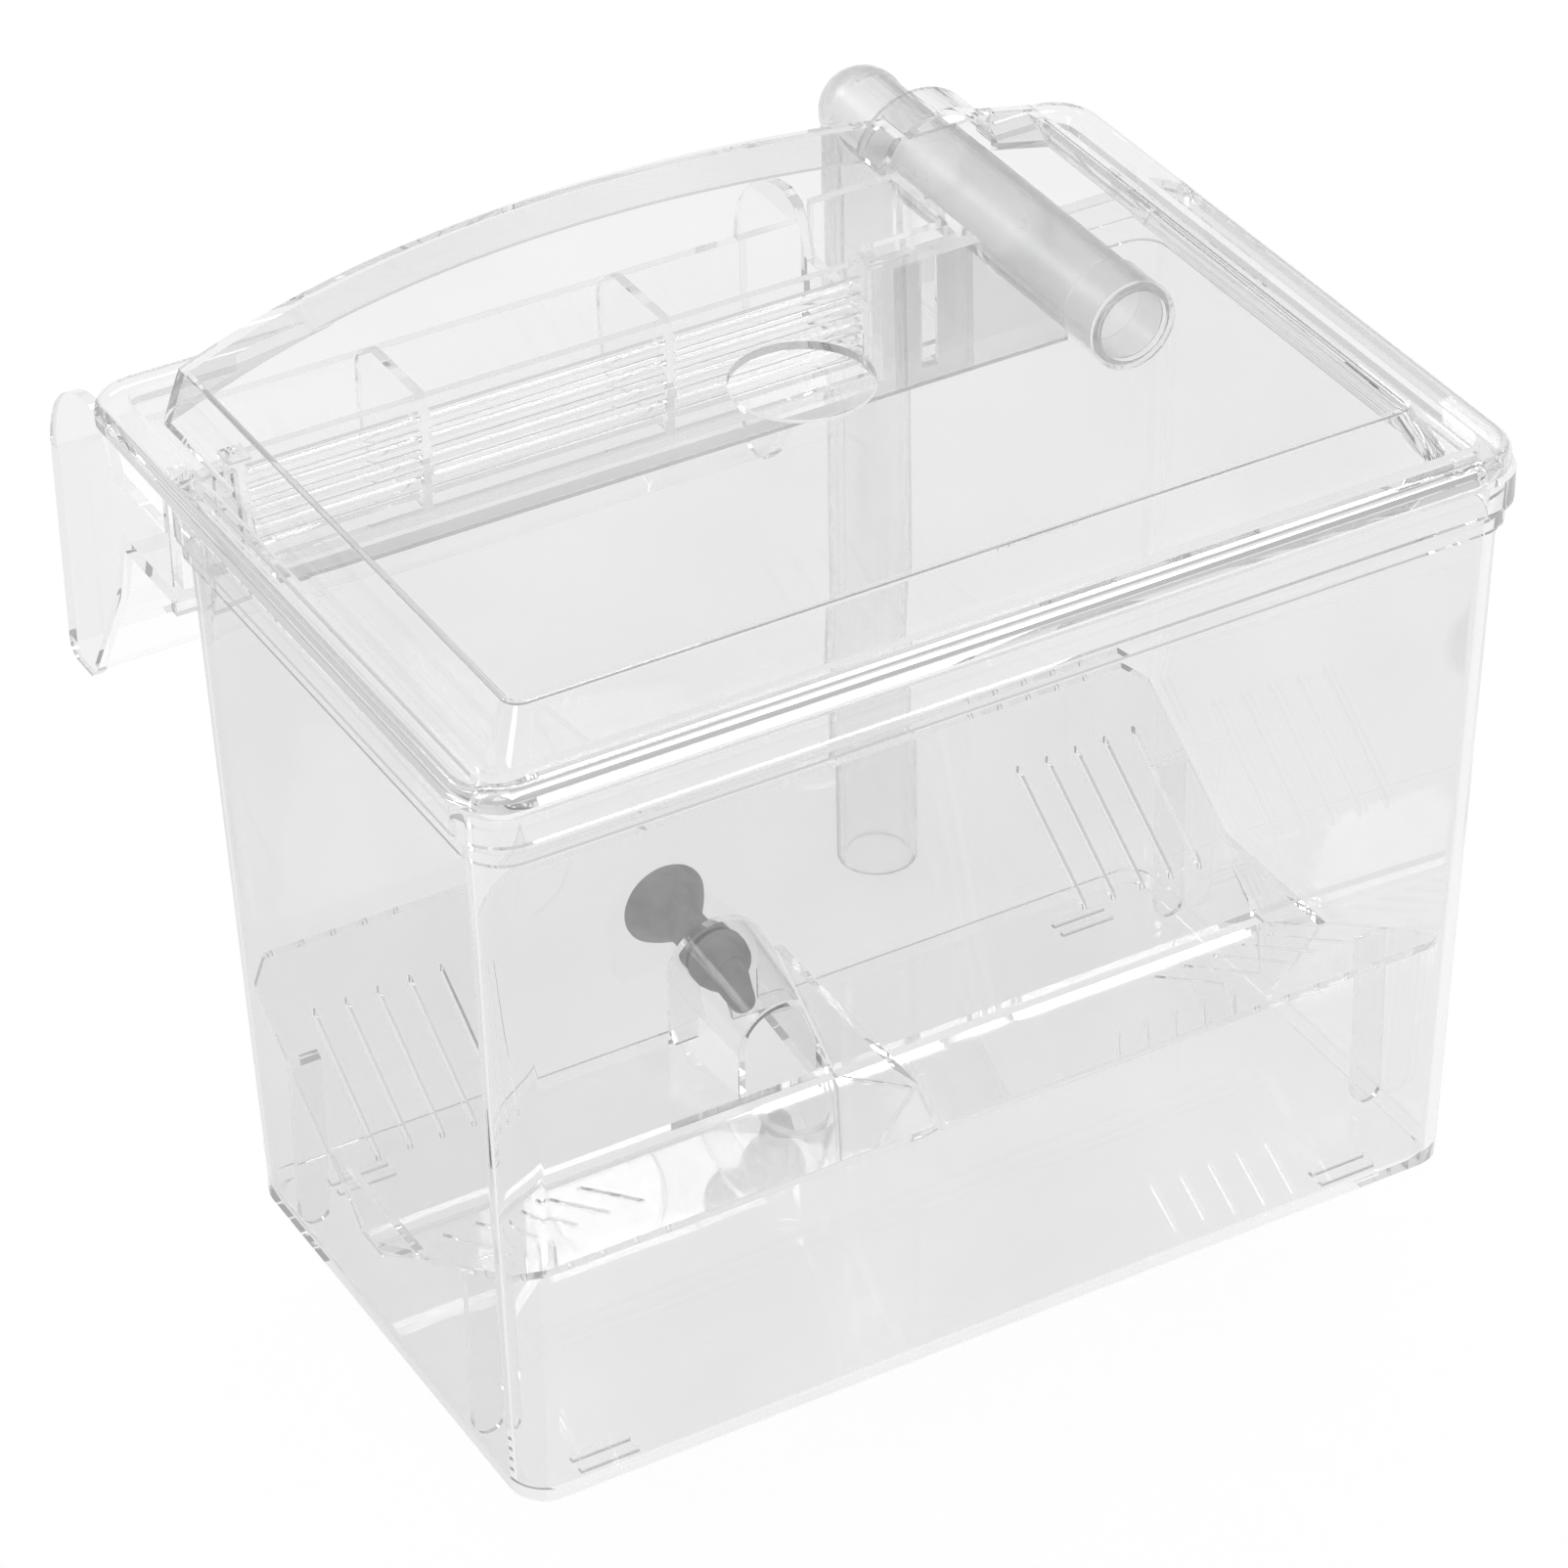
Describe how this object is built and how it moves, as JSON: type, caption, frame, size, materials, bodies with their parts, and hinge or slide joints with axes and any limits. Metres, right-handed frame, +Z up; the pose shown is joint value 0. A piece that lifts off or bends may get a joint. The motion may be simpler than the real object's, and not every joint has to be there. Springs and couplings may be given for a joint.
{
  "type": "fish breeding box",
  "caption": "Clear hang-on fish breeding box with a V-shaped fry trap, overflow strainer, return chute, lift tube, raised lid and a stand-off suction cup.",
  "frame": {"origin": "middle of the trough's underside, the surface that sits on the aquarium's rim, on the tank's plane of symmetry in X", "axes": "+X to the right of someone facing the box's front, +Y from the box to the aquarium, +Z up"},
  "size_m": [0.1884, 0.166, 0.1691],
  "materials": {
    "tank_clear": "clear polished",
    "hanger_clear": "clear polished",
    "strainer_clear": "clear polished",
    "lid_clear": "clear polished",
    "trap_clear": "clear polished",
    "tube_frosted": "frosted translucent",
    "sleeve_clear": "translucent",
    "cup_rubber": "satin dark grey"
  },
  "bodies": {
    "box": {"tank": "tank_clear", "hanger": "hanger_clear", "suction_cup": "cup_rubber"},
    "lid": {"lid": "lid_clear"},
    "trap": {"fry_trap": "trap_clear"},
    "strainer": {"strainer": "strainer_clear"},
    "tube": {"lift_tube": "tube_frosted", "outlet_sleeve": "sleeve_clear"}
  },
  "joints": [
    {"name": "lid_lift", "type": "slide", "parent": "box", "child": "lid", "axis": [0, 0, 1], "range_m": [0, 0.06]},
    {"name": "trap_lift", "type": "slide", "parent": "box", "child": "trap", "axis": [0, 0, 1], "range_m": [0, 0.075]},
    {"name": "strainer_lift", "type": "slide", "parent": "box", "child": "strainer", "axis": [0, 0, 1], "range_m": [0, 0.0015]},
    {"name": "tube_turn", "type": "hinge", "parent": "box", "child": "tube", "pos_m": [0.0643, 0.03825, 0.0218], "axis": [0, 1, 0], "range_deg": [-12, 12]}
  ]
}
